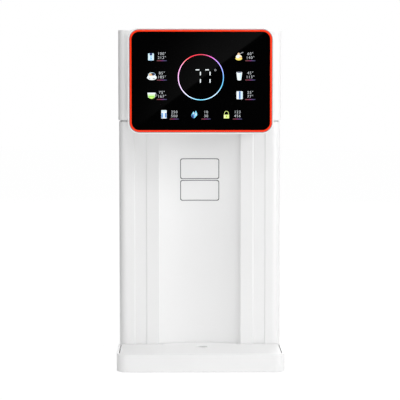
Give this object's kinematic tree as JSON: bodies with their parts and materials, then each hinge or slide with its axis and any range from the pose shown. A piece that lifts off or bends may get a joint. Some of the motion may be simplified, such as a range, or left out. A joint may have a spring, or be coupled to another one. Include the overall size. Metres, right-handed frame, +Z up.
{
  "type": "hot water dispenser",
  "caption": "Countertop hot water dispenser: white body with a touch panel head above a cup niche and drip tray, and a lift-off water tank behind.",
  "frame": {"origin": "on the counter, under the middle of the object's box", "axes": "+Z up, -Y towards the user (the control panel's side), +X to the user's right"},
  "size_m": [0.192, 0.239, 0.391],
  "materials": {
    "white_shell": "smooth satin white moulding",
    "tray_plate": "satin white plate",
    "orange_trim": "glossy orange-red moulding",
    "black_glass": "polished black glass",
    "base_plastic": "matt pale grey moulding",
    "dark_rubber": "dark rubber",
    "screw_steel": "zinc-plated steel",
    "mask_white": "matt white moulding",
    "light_guide": "clear acrylic",
    "circuit_board": "green solder mask",
    "lamp_white": "white lamp bodies",
    "ribbon_grey": "grey flat cable",
    "clear_hose": "translucent silicone hose",
    "soft_silicone": "white silicone",
    "clear_tank": "clear moulded plastic",
    "inner_white": "food-safe white moulding",
    "inner_black": "black moulding",
    "motor_steel": "plain steel can",
    "heater_steel": "stainless tube",
    "bracket_steel": "bent steel strip",
    "sink_aluminium": "plain extruded aluminium",
    "component_dark": "dark component bodies",
    "probe_brass": "brass sleeve",
    "rocker_black": "glossy black rocker"
  },
  "bodies": {
    "casing": {"rear_shell": "white_shell", "front_cover": "white_shell", "head_housing": "white_shell", "tank_cradle": "white_shell", "trim_ring": "orange_trim", "touch_glass": "black_glass", "base_plate": "base_plastic", "rubber_feet": "dark_rubber", "pump_mount": "dark_rubber", "cord_gland": "dark_rubber", "case_screws": "screw_steel", "base_screws": "screw_steel", "board_screws": "screw_steel", "hose_clips": "screw_steel", "light_mask": "mask_white", "ring_light_guide": "light_guide", "display_board": "circuit_board", "main_board": "circuit_board", "display_leds": "lamp_white", "display_ribbon": "ribbon_grey", "inlet_hose": "clear_hose", "meter_hose": "clear_hose", "heater_hose": "clear_hose", "outlet_hose": "clear_hose", "nozzle_seal": "soft_silicone", "nozzle": "inner_white", "steam_separator": "inner_white", "separator_lid": "inner_white", "dock_spigot": "inner_white", "heater_caps": "inner_white", "pump_head": "inner_black", "flow_meter_body": "inner_black", "switch_frame": "inner_black", "pump_motor": "motor_steel", "heater_body": "heater_steel", "thermal_cutouts": "heater_steel", "heater_brackets": "bracket_steel", "triac_heatsink": "sink_aluminium", "board_components": "component_dark", "temperature_probe": "probe_brass"},
    "tray": {"drip_tray": "white_shell"},
    "plate": {"drip_plate": "tray_plate"},
    "tank": {"water_tank": "clear_tank", "tank_cover": "white_shell", "lid_pins": "screw_steel", "tank_valve": "soft_silicone"},
    "lid": {"fill_lid": "white_shell"},
    "rocker": {"switch_rocker": "rocker_black"},
    "impeller": {"pump_impeller": "inner_black"},
    "turbine": {"flow_meter_turbine": "inner_white"}
  },
  "joints": [
    {"name": "tray_slide", "type": "slide", "parent": "casing", "child": "tray", "axis": [0, -1, 0], "range_m": [0, 0.1]},
    {"name": "plate_lift", "type": "slide", "parent": "tray", "child": "plate", "axis": [0, 0, 1], "range_m": [0, 0.05]},
    {"name": "tank_lift", "type": "slide", "parent": "casing", "child": "tank", "axis": [0, 0, 1], "range_m": [0, 0.06]},
    {"name": "lid_hinge", "type": "hinge", "parent": "tank", "child": "lid", "pos_m": [0, 0.111, 0.3375], "axis": [-1, 0, 0], "range_deg": [0, 105]},
    {"name": "switch_rock", "type": "hinge", "parent": "casing", "child": "rocker", "pos_m": [-0.04, 0.1145, 0.02315], "axis": [0, 0, 1], "range_deg": [0, 20]},
    {"name": "pump_spin", "type": "hinge", "parent": "casing", "child": "impeller", "pos_m": [-0.062, 0.02, 0.0275], "axis": [0, 1, 0], "continuous": true},
    {"name": "turbine_spin", "type": "hinge", "parent": "casing", "child": "turbine", "pos_m": [-0.062, 0.02, 0.08], "axis": [0, 0, 1], "continuous": true}
  ]
}
